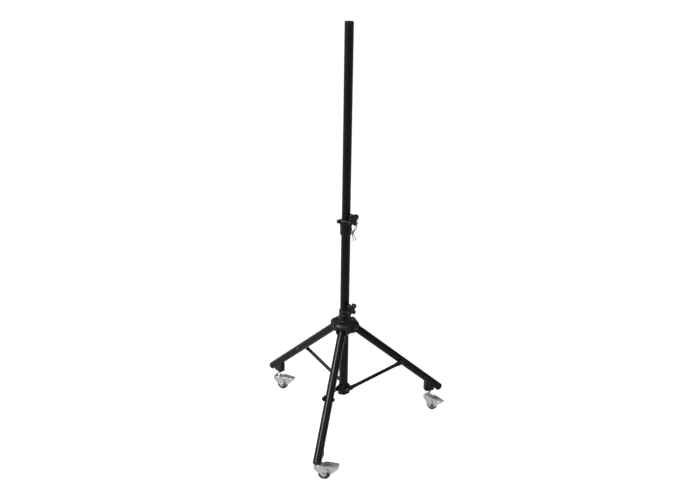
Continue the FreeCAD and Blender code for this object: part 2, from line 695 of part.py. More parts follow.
def make_leg(name, azimuth):
    """One leg: tube, domed cap, castor bracket, brace bolt and castor stem."""
    frame = leg_axis_placement(azimuth)
    inner = D["leg_radius"] - D["leg_wall"]
    length = D["leg_length"]
    tube = turned(name + "_tube", ring_outline(inner, D["leg_radius"], -D["leg_tail"], length))
    pivot_drill = cylinder(name + "_pivot_drill", D["bolt_radius"] + D["running_fit"], 60.0,
                           y=-30.0, turn=ALONG_Y)
    joint = brace_joint_along()
    joint_drill = cylinder(name + "_joint_drill", D["bolt_radius"] + 0.02, 60.0, y=-30.0, z=joint,
                           turn=ALONG_Y)
    piece(name + "_leg_tube", cut(name + "_leg_cut", tube, [pivot_drill, joint_drill]), frame)

    cap_block = cylinder(name + "_cap_block", D["leg_radius"], D["leg_dome"], z=length)
    dome = rounded(name + "_dome", cap_block, 7.0,
                   lambda edge: is_circle(edge) and edge.BoundBox.ZMin > number(length) + 5)
    plug = cylinder(name + "_cap_plug", inner - 0.05, 16.0, z=length - 15.0)
    piece(name + "_leg_cap", fused(name + "_cap", [dome, plug]), frame)

    make_bracket(name, azimuth)
    make_brace_bolt(name, frame, joint)


def make_bracket(name, azimuth):
    """The wedge that stands the castor's stem upright under the sloping leg."""
    slope = math.radians(number(D["leg_slope"]))
    low = D["bracket_low"]
    back = D["bracket_back"]
    front = D["bracket_front"]
    overlap_with_leg = 8.0
    cover = overlap_with_leg / math.cos(slope)
    back_top = number(D["pivot_level"]) - number(back - D["pivot_reach"]) * math.tan(slope) - cover
    front_top = number(D["pivot_level"]) - number(front - D["pivot_reach"]) * math.tan(slope) - cover
    body = new_body(name + "_bracket_body")
    pad(body, name + "_wedge", [
        (back, low + 3.0), (back + 3.0, low), (front - 2.0, low),
        (front, low + 2.0), (front, front_top), (back, back_top)], D["bracket_half"] * 2)
    frame = leg_axis_placement(0.0)
    saddle = cylinder(name + "_saddle", D["leg_radius"], 620.0)
    saddle.Placement = frame
    stem_hole = cylinder(name + "_stem_hole", D["stem_radius"], 17.0, x=D["stem_reach"], z=low - 1.0)
    piece(name + "_castor_bracket", cut(name + "_bracket", body, [saddle, stem_hole]),
          Placement(Vector(), about_z(azimuth)))

    shank = D["stem_radius"]
    start = D["stem_low"]
    collar = 7.5
    nut = 9.2
    washer = 11.0
    stem = turned(name + "_stem_turned", [
        (0, start), (shank, start), (shank, start + 9.5), (collar, start + 9.5), (collar, start + 12.0),
        (shank, start + 12.0), (shank, low - 11.0), (nut, low - 11.0), (nut, low - 2.5),
        (nut - 0.7, low - 2.0), (washer, low - 2.0), (washer, low), (shank, low),
        (shank, low + 15.0), (0, low + 15.0)])
    reach = about_z(azimuth).multVec(Vector(number(D["stem_reach"]), 0, 0))
    piece(name + "_castor_stem", stem, Placement(reach, about_z(azimuth)))


def make_brace_bolt(name, frame, joint):
    """The bolt through the leg and its nut. It ends at the leg's face on the brace's side."""
    nut_start = D["leg_radius"] + 0.1
    shank = cylinder(name + "_bolt_shank", D["bolt_radius"], D["leg_radius"] * 2, y=-D["leg_radius"],
                     z=joint, turn=ALONG_Y)
    nut = cylinder(name + "_bolt_nut", 7.0, 6.5, y=nut_start - 0.2, z=joint, turn=ALONG_Y)
    piece(name + "_brace_bolt", fused(name + "_bolt", [shank, nut]), frame)


# ---------------------------------------------------------------- braces

def make_brace(name, azimuth):
    """A round tube pressed flat at both ends, beside its leg, and its bolt head."""
    run = Vector(number(D["joint_reach"] - D["foot_reach"]), 0, number(D["joint_level"] - D["foot_level"]))
    rise = math.degrees(math.atan2(run.z, run.x))
    length = run.Length
    turn = about_z(azimuth) * about_y(90 - rise)
    foot = about_z(azimuth).multVec(Vector(number(D["foot_reach"]), -number(D["brace_offset"]), 0))
    foot.z = number(D["foot_level"])
    frame = Placement(foot, turn)

    half = D["flat_half_width"]
    thick = D["flat_thickness"]
    flat_end = D["flat_length"]
    round_start = flat_end + D["flare_length"]
    parts = [cylinder(name + "_brace_round", D["brace_radius"], -round_start * 2 + length, z=round_start)]
    for end, centre, way in (("foot", 0.0, 1.0), ("top", length, -1.0)):
        start = centre if way > 0 else centre - number(flat_end) - 0.5
        parts.append(block(name + "_flat_" + end, half * 2, thick, flat_end + 0.5,
                           -half, -thick / 2, start))
        parts.append(cylinder(name + "_eye_" + end, half, thick, y=-thick / 2, z=centre, turn=ALONG_Y))
        flat_section = doc.addObject("Part::Ellipse", name + "_oval_" + end)
        bind(flat_section, "MajorRadius", half)
        bind(flat_section, "MinorRadius", thick / 2 + 0.3)
        place(flat_section, z=centre + way * number(flat_end))
        round_section = doc.addObject("Part::Circle", name + "_hoop_" + end)
        bind(round_section, "Radius", D["brace_radius"])
        place(round_section, z=centre + way * number(round_start))
        flare = doc.addObject("Part::Loft", name + "_flare_" + end)
        flare.Sections = [flat_section, round_section]
        flare.Solid = True
        parts.append(flare)
    whole = fused(name + "_brace_whole", parts)
    foot_hole = cylinder(name + "_foot_hole", D["bolt_radius"] + D["running_fit"], 20.0,
                         y=-10.0, turn=ALONG_Y)
    top_hole = cylinder(name + "_top_hole", D["bolt_radius"], 20.0, y=-10.0, z=length, turn=ALONG_Y)
    piece(name + "_brace", cut(name + "_brace_cut", whole, [foot_hole, top_hole]), frame)

    gap = D["brace_offset"] - D["leg_radius"] - 0.4
    outer = -thick / 2
    washer = cylinder(name + "_washer", 8.0, gap - thick / 2, y=thick / 2, z=length, turn=ALONG_Y)
    neck = cylinder(name + "_head_neck", D["bolt_radius"], thick + 2.0, y=outer - 1.0, z=length, turn=ALONG_Y)
    head = cylinder(name + "_head", 8.0, 6.0, y=outer - 6.0, z=length, turn=ALONG_Y)
    dome = rounded(name + "_head_round", head, 2.0,
                   lambda edge: is_circle(edge) and edge.BoundBox.YMax < number(outer) - 5.9)
    piece(name + "_brace_head", fused(name + "_head_whole", [washer, neck, dome]), frame)


# ---------------------------------------------------------------- castors

def make_castor(name, azimuth, heading):
    """Fork, axle, wheel and brake pedal, made with the wheel trailing towards +X."""
    reach = about_z(azimuth).multVec(Vector(number(D["stem_reach"]), 0, 0))
    frame = Placement(reach, about_z(heading))
    axle_x = D["trail"]
    axle_z = D["wheel_radius"]
    top = D["fork_top"]
    outer = D["fork_inner"] + D["fork_plate"]

    body = new_body(name + "_fork_body")
    pad(body, name + "_fork_sides", [
        (-23.0, top - 14.0), (-21.0, top - 18.0), (axle_x - 7.0, axle_z - 6.0), (axle_x - 2.0, axle_z - 8.5),
        (axle_x + 4.0, axle_z - 8.0), (axle_x + 8.0, axle_z - 3.0), (axle_x + 9.0, axle_z + 4.0),
        (34.0, top - 12.0), (34.0, top - 3.0), (31.0, top), (-20.0, top), (-23.0, top - 3.0)],
        outer * 2)
    hollow = pocket(body, name + "_fork_hollow", [
        (-60.0, 0.0), (60.0, 0.0), (60.0, top - D["fork_plate"] - 2.0), (-60.0, top - D["fork_plate"] - 2.0)],
        D["fork_inner"] * 2)
    body.Tip = hollow
    race = cylinder(name + "_race", 18.5, 6.0, z=top - 5.0)
    race_round = rounded(name + "_race_round", race, 2.0, is_circle)
    trim = block(name + "_race_trim", 80.0, outer * 2, 30.0, -40.0, -outer, top - 15.0)
    race_kept = common(name + "_race_kept", [race_round, trim])
    pin_length = outer + D["wing_plate"] + 2.0
    pivots = []
    for side, way in (("a", 1.0), ("b", -1.0)):
        low = outer - 1.0 if way > 0 else -pin_length
        pivots.append(cylinder(name + "_pivot_" + side, D["pedal_pin"], pin_length - outer + 1.0,
                               D["pedal_pivot_reach"], low, D["pedal_pivot_level"], ALONG_Y))
    gathered = fused(name + "_fork_gathered", [body, race_kept] + pivots)
    stem_way = cylinder(name + "_stem_way", D["stem_radius"] + D["running_fit"], 30.0, z=top - 14.0)
    axle_way = cylinder(name + "_axle_way", D["axle_radius"], 60.0, axle_x, -30.0, axle_z, ALONG_Y)
    piece(name + "_castor_fork", cut(name + "_fork", gathered, [stem_way, axle_way]), frame)

    shaft = cylinder(name + "_axle_shaft", D["axle_radius"], outer * 2, axle_x, -outer, axle_z, ALONG_Y)
    head = cylinder(name + "_axle_head", 6.5, 3.0, axle_x, -outer - 3.0, axle_z, ALONG_Y)
    nut = cylinder(name + "_axle_nut", 6.5, 3.0, axle_x, outer, axle_z, ALONG_Y)
    piece(name + "_wheel_axle", fused(name + "_axle", [shaft, head, nut]), frame)

    wheel_frame = frame.multiply(Placement(Vector(number(axle_x), 0, number(axle_z)), ALONG_Y))
    rim = D["rim_radius"]
    edge = D["wheel_half"]
    tyre = turned(name + "_tyre_turned", [
        (rim, -edge + 1.5), (D["wheel_radius"] - 3.5, -edge), (D["wheel_radius"] - 0.8, -edge + 2.5),
        (D["wheel_radius"], -edge + 6.0), (D["wheel_radius"], edge - 6.0),
        (D["wheel_radius"] - 0.8, edge - 2.5), (D["wheel_radius"] - 3.5, edge), (rim, edge - 1.5)])
    piece(name + "_tyre", tyre, wheel_frame)
    boss = 7.5
    bore = D["axle_radius"] + D["running_fit"]
    boss_end = D["fork_inner"] - 0.6
    centre = turned(name + "_centre_turned", [
        (bore, -boss_end), (boss, -boss_end), (boss, -4.5), (rim - 2.5, -4.5), (rim - 2.0, -edge + 1.5),
        (rim, -edge + 1.5), (rim, edge - 1.5), (rim - 2.0, edge - 1.5), (rim - 2.5, 4.5), (boss, 4.5),
        (boss, boss_end), (bore, boss_end)])
    piece(name + "_wheel_centre", centre, wheel_frame)

    make_pedal(name, frame)


def make_pedal(name, frame):
    """The brake pedal: a pressed channel with two wings that straddle the fork."""
    wing_outer = D["wing_inner"] + D["wing_plate"]
    pivot_x = D["pedal_pivot_reach"]
    pivot_z = D["pedal_pivot_level"]
    body = new_body(name + "_pedal_body")
    pad(body, name + "_pedal_block", [
        (pivot_x - 6.0, pivot_z - 4.0), (pivot_x, pivot_z - 7.0), (pivot_x + 20.0, pivot_z - 24.0),
        (pivot_x + 26.0, pivot_z - 25.0), (pivot_x + 30.0, pivot_z - 20.0), (pivot_x + 51.0, pivot_z + 1.0),
        (pivot_x + 53.0, pivot_z + 4.0), (pivot_x + 52.0, pivot_z + 6.5), (pivot_x + 12.0, pivot_z + 11.0),
        (pivot_x - 6.0, pivot_z + 10.0)], wing_outer * 2)
    hollow = pocket(body, name + "_pedal_hollow", [
        (pivot_x - 20.0, pivot_z - 30.0), (pivot_x + 51.0, pivot_z - 30.0),
        (pivot_x + 51.0, pivot_z + 4.6), (pivot_x + 12.0, pivot_z + 9.0), (pivot_x - 20.0, pivot_z + 8.2)],
        D["wing_inner"] * 2)
    body.Tip = hollow
    drill = cylinder(name + "_pedal_drill", D["pedal_pin"] + D["running_fit"], 60.0,
                     pivot_x, -30.0, pivot_z, ALONG_Y)
    piece(name + "_brake_pedal", cut(name + "_pedal", body, [drill]), frame)


# ---------------------------------------------------------------- the whole

def check_and_write():
    """Stop on any failed object, then write each sub-part to its own STEP file."""
    doc.recompute()
    for thing in doc.Objects:
        if "Invalid" in thing.State or "Error" in thing.State:
            raise RuntimeError("failed: " + thing.Name)
    os.makedirs("parts", exist_ok=True)
    for thing in PIECES:
        shape = thing.Shape
        if shape.isNull() or not shape.isValid() or not shape.Solids:
            raise RuntimeError("bad shape: " + thing.Label)
        shape.exportStep("parts/" + thing.Label + ".step")
        print(thing.Label, "solids", len(shape.Solids), "volume", round(shape.Volume))
    print(len(PIECES), "sub-parts")


make_pole()
make_column()
make_collar()
make_pin()
make_lanyard()
make_knob("upper_knob", D["upper_knob_level"], D["pole_radius"] + 0.4, 28.0, 28.0)
make_knob("lower_knob", D["lower_knob_level"], D["column_radius"] + 0.4, 38.0, 28.0)
make_carriage()
for leg_name, leg_azimuth in LEG_AZIMUTHS.items():
    make_leg(leg_name, leg_azimuth)
    make_brace(leg_name, leg_azimuth)
    make_castor(leg_name, leg_azimuth, CASTOR_HEADINGS[leg_name])
check_and_write()
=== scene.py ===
"""Speaker tripod stand on castors: looks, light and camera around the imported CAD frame."""
import json
import math

import bmesh
import bpy
from mathutils import Matrix, Vector


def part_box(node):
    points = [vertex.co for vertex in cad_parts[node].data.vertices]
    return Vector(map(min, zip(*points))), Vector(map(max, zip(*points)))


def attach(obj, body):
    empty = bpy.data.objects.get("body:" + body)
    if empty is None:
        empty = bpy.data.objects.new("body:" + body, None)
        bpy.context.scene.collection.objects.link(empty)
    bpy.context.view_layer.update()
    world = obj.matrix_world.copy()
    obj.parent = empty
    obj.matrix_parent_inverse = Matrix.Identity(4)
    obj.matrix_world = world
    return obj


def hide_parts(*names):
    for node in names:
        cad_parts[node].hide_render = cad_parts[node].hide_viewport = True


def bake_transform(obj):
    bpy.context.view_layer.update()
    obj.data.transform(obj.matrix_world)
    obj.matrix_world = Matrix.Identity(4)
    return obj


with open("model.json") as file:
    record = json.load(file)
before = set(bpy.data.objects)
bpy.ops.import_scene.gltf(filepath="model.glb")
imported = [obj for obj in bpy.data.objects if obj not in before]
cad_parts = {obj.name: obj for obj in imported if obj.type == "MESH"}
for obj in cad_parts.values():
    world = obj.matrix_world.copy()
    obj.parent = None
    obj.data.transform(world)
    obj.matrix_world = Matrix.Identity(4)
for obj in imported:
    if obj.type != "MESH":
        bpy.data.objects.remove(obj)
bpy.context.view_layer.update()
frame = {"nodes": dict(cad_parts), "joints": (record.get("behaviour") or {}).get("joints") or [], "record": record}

MM = 0.001
NODES = frame["nodes"]
JOINTS = {joint["name"]: joint for joint in frame["joints"]}
LEGS = ("front", "right", "left")
UP = Vector((0, 0, 1))


# ---------------------------------------------------------------- camera

CAMERA_PLACE = Vector((0.6644, -3.0205, 2.0543))
CAMERA_AZIMUTH = math.radians(12.08)
CAMERA_PITCH = math.radians(21.44)
CAMERA_ROLL = math.radians(1.055)
CAMERA_LENS = 42.08
CAMERA_SHIFT = 0.0018


def make_camera():
    """The main camera, rolled a little about its own line of sight."""
    ahead = Vector((-math.sin(CAMERA_AZIMUTH), math.cos(CAMERA_AZIMUTH), 0))
    forward = ahead * math.cos(CAMERA_PITCH) - UP * math.sin(CAMERA_PITCH)
    level_right = forward.cross(UP).normalized()
    level_up = level_right.cross(forward)
    right = level_right * math.cos(CAMERA_ROLL) + level_up * math.sin(CAMERA_ROLL)
    above = right.cross(forward)
    data = bpy.data.cameras.new("camera")
    data.lens = CAMERA_LENS
    data.sensor_width = 36.0
    data.shift_y = CAMERA_SHIFT
    camera = bpy.data.objects.new("camera", data)
    turn = Matrix((right, above, -forward)).transposed().to_4x4()
    camera.matrix_world = Matrix.Translation(CAMERA_PLACE) @ turn
    bpy.context.scene.collection.objects.link(camera)
    bpy.context.scene.camera = camera


# ---------------------------------------------------------------- materials

class Nodes:
    """A small helper that adds and joins shader nodes of one material."""

    def __init__(self, name, base, roughness, metallic=0.0):
        self.material = bpy.data.materials.new(name)
        self.material.use_nodes = True
        self.tree = self.material.node_tree
        self.shader = self.tree.nodes["Principled BSDF"]
        self.shader.inputs["Base Color"].default_value = (*base, 1)
        self.shader.inputs["Roughness"].default_value = roughness
        self.shader.inputs["Metallic"].default_value = metallic
        self.place = self.tree.nodes.new("ShaderNodeTexCoord").outputs["Object"]

    def add(self, kind, **inputs):
        node = self.tree.nodes.new(kind)
        for name, value in inputs.items():
            socket = node.inputs[name.replace("_", " ")]
            if isinstance(value, bpy.types.NodeSocket):
                self.tree.links.new(value, socket)
            else:
                socket.default_value = value
        return node

    def stretched(self, scale, turn=(0, 0, 0)):
        """Object coordinates in metres, scaled by axis, for streaks and brushing."""
        mapping = self.add("ShaderNodeMapping", Vector=self.place)
        mapping.inputs["Scale"].default_value = scale
        mapping.inputs["Rotation"].default_value = turn
        return mapping.outputs["Vector"]

    def noise(self, scale, detail=3.0, vector=None, rough=0.5):
        node = self.add("ShaderNodeTexNoise", Vector=vector or self.place, Scale=scale,
                        Detail=detail, Roughness=rough)
        return node.outputs["Fac"]

    def ramp(self, factor, low, high, start=0.0, end=1.0):
        """Map a value from low..high to start..end, clamped."""
        node = self.add("ShaderNodeMapRange", Value=factor)
        node.inputs["From Min"].default_value = low
        node.inputs["From Max"].default_value = high
        node.inputs["To Min"].default_value = start
        node.inputs["To Max"].default_value = end
        return node.outputs["Result"]

    def maths(self, operation, first, second):
        node = self.add("ShaderNodeMath")
        node.operation = operation
        for socket, value in zip(node.inputs, (first, second)):
            if isinstance(value, bpy.types.NodeSocket):
                self.tree.links.new(value, socket)
            else:
                socket.default_value = value
        return node.outputs[0]

    def blend(self, factor, first, second):
        """A colour between two, by a factor socket."""
        node = self.tree.nodes.new("ShaderNodeMix")
        node.data_type = "RGBA"
        self.tree.links.new(factor, node.inputs["Factor"])
        for socket, value in ((node.inputs[6], first), (node.inputs[7], second)):
            if isinstance(value, bpy.types.NodeSocket):
                self.tree.links.new(value, socket)
            else:
                socket.default_value = (*value, 1)
        return node.outputs[2]

    def colour(self, socket):
        self.tree.links.new(socket, self.shader.inputs["Base Color"])

    def roughness(self, socket):
        self.tree.links.new(socket, self.shader.inputs["Roughness"])

    def bumps(self, layers):
        """Stack bump layers of (height socket, distance in mm, strength)."""
        normal = None
        for height, distance, strength in layers:
            bump = self.add("ShaderNodeBump", Height=height, Strength=strength)
            bump.inputs["Distance"].default_value = distance * MM
            if normal is not None:
                self.tree.links.new(normal, bump.inputs["Normal"])
            normal = bump.outputs["Normal"]
        self.tree.links.new(normal, self.shader.inputs["Normal"])


def edge_wear(nodes, low, high):
    """1 on worn outer edges, broken up by noise, from the surface's pointiness."""
    geometry = nodes.tree.nodes.new("ShaderNodeNewGeometry")
    edge = nodes.ramp(geometry.outputs["Pointiness"], low, high)
    patches = nodes.ramp(nodes.noise(140.0, 4.0), 0.45, 0.62)
    return nodes.maths("MULTIPLY", edge, patches)


# Of every black finish; at the usual 0.5 the pale studio washes them out.
SPECULAR_LEVEL = 0.1
BLACK = (0.002, 0.002, 0.0023)


def powder_coat(name, rough, streaks, marks=0.012):
    """Black powder coat: fine orange peel, fingerprints, faint long scuffs and a little dust."""
    base = BLACK
    n = Nodes(name, base, rough)
    peel = n.noise(1100.0, 2.0)
    smudge = n.ramp(n.noise(14.0, 4.0), 0.35, 0.7)
    long_marks = n.noise(1.0, 5.0, n.stretched((900.0, 900.0, 9.0)), 0.6)
    scuff = n.ramp(long_marks, 0.66, 0.74, 0.0, streaks)
    dust = n.ramp(n.noise(260.0, 6.0, rough=0.7), 0.62, 0.8, 0.0, 0.35)
    light = tuple(c * 4.0 + marks for c in base)
    coloured = n.blend(scuff, base, light)
    n.colour(n.blend(dust, coloured, tuple(c * 2.5 + marks / 2 for c in base)))
    rough_base = n.ramp(smudge, 0.0, 1.0, rough - 0.05, rough + 0.09)
    n.roughness(n.maths("ADD", rough_base, n.maths("MULTIPLY", scuff, 0.5)))
    n.bumps([(peel, 0.05, 0.25), (long_marks, 0.04, 0.12)])
    n.shader.inputs["Specular IOR Level"].default_value = SPECULAR_LEVEL
    return n.material


def moulded_plastic(name, base, rough, grain=2200.0):
    """Moulded plastic: spark-eroded grain, flow marks and shiny handled patches."""
    n = Nodes(name, base, rough)
    fine = n.noise(grain, 2.0)
    flow = n.noise(1.0, 3.0, n.stretched((30.0, 30.0, 120.0)))
    handled = n.ramp(n.noise(45.0, 3.0), 0.4, 0.7)
    worn = n.maths("MULTIPLY", edge_wear(n, 0.53, 0.6), 0.6)
    tinted = n.blend(n.ramp(flow, 0.4, 0.7), base, tuple(c * 1.5 for c in base))
    n.colour(n.blend(worn, tinted, tuple(c * 3.0 + 0.012 for c in base)))
    n.roughness(n.ramp(handled, 0.0, 1.0, rough - 0.1, rough + 0.08))
    n.bumps([(fine, 0.06, 0.35), (flow, 0.08, 0.1)])
    n.shader.inputs["Specular IOR Level"].default_value = SPECULAR_LEVEL
    return n.material


def zinc_plate(name):
    """Zinc-plated pressed steel: soft spangle, drawing lines, stains and dull handling marks."""
    base, rough = (0.4, 0.407, 0.413), 0.38
    n = Nodes(name, base, rough, 1.0)
    spangle = n.add("ShaderNodeTexVoronoi", Vector=n.place, Scale=420.0).outputs["Color"]
    lines = n.noise(1.0, 4.0, n.stretched((40.0, 40.0, 1500.0)))
    stain = n.ramp(n.noise(60.0, 5.0), 0.5, 0.75)
    dirt = n.ramp(n.noise(180.0, 6.0, rough=0.7), 0.6, 0.75, 0.0, 0.7)
    tone = n.add("ShaderNodeSeparateColor", Color=spangle).outputs[0]
    plated = n.blend(n.ramp(tone, 0.0, 1.0, 0.0, 0.35), base, tuple(c * 0.72 for c in base))
    stained = n.blend(n.maths("MULTIPLY", stain, 0.55), plated, (0.36, 0.35, 0.33))
    n.colour(n.blend(dirt, stained, (0.13, 0.125, 0.12)))
    n.roughness(n.maths("ADD", n.ramp(tone, 0.0, 1.0, rough - 0.06, rough + 0.08),
                        n.maths("MULTIPLY", dirt, 0.3)))
    n.bumps([(lines, 0.03, 0.15), (spangle, 0.02, 0.1)])
    return n.material


def bright_steel(name):
    """Turned bright steel with fine grain, long scratches and patches of grey grease."""
    base, rough = (0.56, 0.57, 0.59), 0.24
    n = Nodes(name, base, rough, 1.0)
    turning = n.noise(1.0, 4.0, n.stretched((700.0, 700.0, 700.0)))
    scratches = n.ramp(n.noise(1.0, 6.0, n.stretched((1600.0, 60.0, 1600.0))), 0.62, 0.72)
    grease = n.ramp(n.noise(90.0, 4.0), 0.5, 0.72, 0.0, 0.6)
    n.colour(n.blend(grease, base, (0.2, 0.19, 0.18)))
    n.roughness(n.maths("ADD", n.ramp(turning, 0.3, 0.7, rough - 0.04, rough + 0.1),
                        n.maths("MULTIPLY", scratches, 0.25)))
    n.bumps([(turning, 0.02, 0.12), (scratches, 0.02, 0.15)])
    return n.material


def black_steel(name):
    """Black-oxide fasteners, rubbed bright on their corners."""
    n = Nodes(name, (0.012, 0.012, 0.013), 0.5, 0.3)
    worn = edge_wear(n, 0.52, 0.57)
    mottle = n.noise(320.0, 4.0)
    dark = n.blend(mottle, (0.007, 0.007, 0.008), (0.016, 0.0155, 0.015))
    n.colour(n.blend(worn, dark, (0.08, 0.08, 0.082)))
    n.roughness(n.ramp(mottle, 0.3, 0.7, 0.42, 0.58))
    n.bumps([(mottle, 0.04, 0.2)])
    n.shader.inputs["Specular IOR Level"].default_value = SPECULAR_LEVEL
    return n.material


def rubber(name):
    """Grey-black castor rubber: dusty, scuffed and a little mottled."""
    n = Nodes(name, (0.022, 0.022, 0.024), 0.72)
    grime = n.ramp(n.noise(150.0, 6.0, rough=0.7), 0.4, 0.72)
    scuffs = n.ramp(n.noise(1.0, 5.0, n.stretched((260.0, 260.0, 900.0))), 0.6, 0.7)
    dusty = n.blend(grime, (0.01, 0.01, 0.011), (0.036, 0.035, 0.033))
    n.colour(n.blend(n.maths("MULTIPLY", scuffs, 0.4), dusty, (0.07, 0.067, 0.062)))
    n.roughness(n.ramp(grime, 0.0, 1.0, 0.62, 0.88))
    n.bumps([(n.noise(1400.0, 3.0), 0.08, 0.4), (scuffs, 0.06, 0.2)])
    return n.material


def braided_cord(name):
    """Black braided cord: two crossing sets of strands with loose fibres, the strand crests coloured lighter as a
    painted highlight.
    """
    n = Nodes(name, (0.008, 0.008, 0.009), 0.82)
    waves = []
    for turn in (0.7, -0.7):
        slanted = n.stretched((1.0, 1.0, 1.0), (turn, 0.4 * turn, turn))
        wave = n.add("ShaderNodeTexWave", Vector=slanted, Scale=420.0, Distortion=0.6)
        waves.append(wave.outputs["Fac"])
    braid = n.maths("MAXIMUM", waves[0], waves[1])
    fibres = n.noise(2600.0, 3.0)
    # Painted highlight: the braid's crests, broken up by the fibres, are coloured lighter than the grooves, as if
    # lit.
    painted_crest_highlight = n.maths("MULTIPLY", braid, fibres)
    n.colour(n.blend(painted_crest_highlight, (0.004, 0.004, 0.0045), (0.02, 0.02, 0.022)))
    n.roughness(n.ramp(fibres, 0.3, 0.7, 0.74, 0.92))
    n.bumps([(braid, 0.35, 0.8), (fibres, 0.08, 0.3)])
    n.shader.inputs["Sheen Weight"].default_value = 0.05
    n.shader.inputs["Specular IOR Level"].default_value = SPECULAR_LEVEL
    return n.material


def make_materials():
    """Every material, by its record slot."""
    return {
        "pole_powder_coat": powder_coat("pole_coat", 0.36, 0.3),
        "column_powder_coat": powder_coat("column_coat", 0.38, 0.45, 0.008),
        "leg_powder_coat": powder_coat("leg_coat", 0.3, 0.25, 0.004),
        "brace_powder_coat": powder_coat("brace_coat", 0.38, 0.3, 0.006),
        "moulded_black": moulded_plastic("moulded_black", (0.0025, 0.0025, 0.0028), 0.44),
        "cast_black": moulded_plastic("cast_black", (0.0035, 0.0034, 0.0042), 0.44, 1300.0),
        "bracket_black": moulded_plastic("bracket_black", (0.0035, 0.0035, 0.0038), 0.5),
        "cap_plastic": moulded_plastic("cap_plastic", (0.006, 0.006, 0.0065), 0.34, 3000.0),
        "bush_plastic": moulded_plastic("bush_plastic", (0.04, 0.04, 0.042), 0.45),
        "knob_plastic": moulded_plastic("knob_plastic", (0.0025, 0.0025, 0.0028), 0.42, 2600.0),
        "black_steel": black_steel("black_steel"),
        "pin_steel": bright_steel("pin_steel"),
        "zinc_plate": zinc_plate("zinc_plate"),
        "tyre_rubber": rubber("tyre_rubber"),
        "wheel_plastic": moulded_plastic("wheel_plastic", (0.1, 0.102, 0.105), 0.42, 1800.0),
        "cord_black": braided_cord("cord_black"),
    }


MATERIALS = make_materials()


# ---------------------------------------------------------------- mesh helpers

def across(axis):
    """A frame whose Z is the axis, as a rotation matrix."""
    axis = axis.normalized()
    side = UP if abs(axis.z) < 0.9 else Vector((1, 0, 0))
    x = side.cross(axis).normalized()
    return Matrix((x, axis.cross(x), axis)).transposed().to_4x4()


def frame_at(place, axis):
    return Matrix.Translation(place) @ across(axis)


def upright_frame(place, heading):
    """A frame at a place with X along a heading on the floor and Z up."""
    x = Vector((heading.x, heading.y, 0)).normalized()
    return Matrix.Translation(place) @ Matrix((x, UP.cross(x), UP)).transposed().to_4x4()


def add_piece(name, bm, matrix, slot, body, replaced=(), sharp=35.0):
    """Turn a bmesh in millimetres into a shaded piece that rides on a body."""
    bmesh.ops.remove_doubles(bm, verts=bm.verts, dist=1e-4)
    bmesh.ops.scale(bm, vec=(MM, MM, MM), verts=bm.verts)
    bm.transform(matrix)
    bmesh.ops.recalc_face_normals(bm, faces=bm.faces)
    for face in bm.faces:
        face.smooth = True
    for edge in bm.edges:
        edge.smooth = edge.is_manifold and edge.calc_face_angle(0.0) < math.radians(sharp)
    mesh = bpy.data.meshes.new(name)
    bm.to_mesh(mesh)
    bm.free()
    mesh.materials.append(MATERIALS[slot])
    piece = bpy.data.objects.new(name, mesh)
    bpy.context.scene.collection.objects.link(piece)
    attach(piece, body)
    if replaced:
        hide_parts(*replaced)
    return piece


def lathe(bm, profile, segments=64, closed=True, matrix=None):
    """Revolve (radius, height) points about Z. A closed profile makes a ring; an open one starts
    and ends on the axis."""
    rings = []
    for i in range(segments):
        angle = 2 * math.pi * i / segments
        c, s = math.cos(angle), math.sin(angle)
        points = [Vector((r * c, r * s, z)) for r, z in profile]
        if matrix is not None:
            points = [matrix @ p for p in points]
        rings.append([bm.verts.new(p) for p in points])
    count = len(profile)
    last = count if closed else count - 1
    for i in range(segments):
        here, there = rings[i], rings[(i + 1) % segments]
        for j in range(last):
            k = (j + 1) % count
            corners = [here[j], there[j], there[k], here[k]]
            flat = []
            for corner in corners:
                if all((corner.co - other.co).length > 1e-7 for other in flat):
                    flat.append(corner)
            if len(flat) > 2:
                bm.faces.new(flat)


def arc(cx, cz, radius, start, end, steps=6):
    """Points of an arc in an outline, angles in degrees."""
    points = []
    for i in range(steps + 1):
        angle = math.radians(start + (end - start) * i / steps)
        points.append((cx + radius * math.cos(angle), cz + radius * math.sin(angle)))
    return points


def circle_row(radius, height, steps):
    """A level ring of points."""
    row = []
    for i in range(steps):
        angle = 2 * math.pi * i / steps
        row.append((radius * math.cos(angle), radius * math.sin(angle), height))
    return row


def prism(bm, outline, low, high, matrix=None):
    """A straight block of an outline from low to high in Z."""
    matrix = matrix or Matrix.Identity(4)
    bottom = [bm.verts.new(matrix @ Vector((x, y, low))) for x, y in outline]
    top = [bm.verts.new(matrix @ Vector((x, y, high))) for x, y in outline]
    count = len(outline)
    bm.faces.new(bottom[::-1])
    bm.faces.new(top)
    for i in range(count):
        k = (i + 1) % count
        bm.faces.new((bottom[i], bottom[k], top[k], top[i]))


def hexagon(across_flats, chamfer, low, high):
    """Rings of a chamfered hexagon head, as (ring points, height) from bottom to top."""
    corner = across_flats / math.sqrt(3)
    rows = []
    for radius, height in ((corner - chamfer, low), (corner, low + chamfer * 0.6),
                           (corner, high - chamfer * 0.6), (corner - chamfer, high)):
        rows.append(circle_row(radius, height, 6))
    return rows


def add_rows(bm, rows, matrix=None):
    """Skin rows of points into a closed body with flat ends."""
    matrix = matrix or Matrix.Identity(4)
    made = [[bm.verts.new(matrix @ Vector(p)) for p in row] for row in rows]
    for below, above in zip(made, made[1:]):
        for i in range(len(below)):
            k = (i + 1) % len(below)
            bm.faces.new((below[i], below[k], above[k], above[i]))
    bm.faces.new(made[0][::-1])
    bm.faces.new(made[-1])


def baked(item):
    """A new mesh of an object as it stands, modifiers and curve thickness included."""
    bpy.context.view_layer.update()
    finished = item.evaluated_get(bpy.context.evaluated_depsgraph_get())
    return bpy.data.meshes.new_from_object(finished)


# ---------------------------------------------------------------- CAD nodes that stay

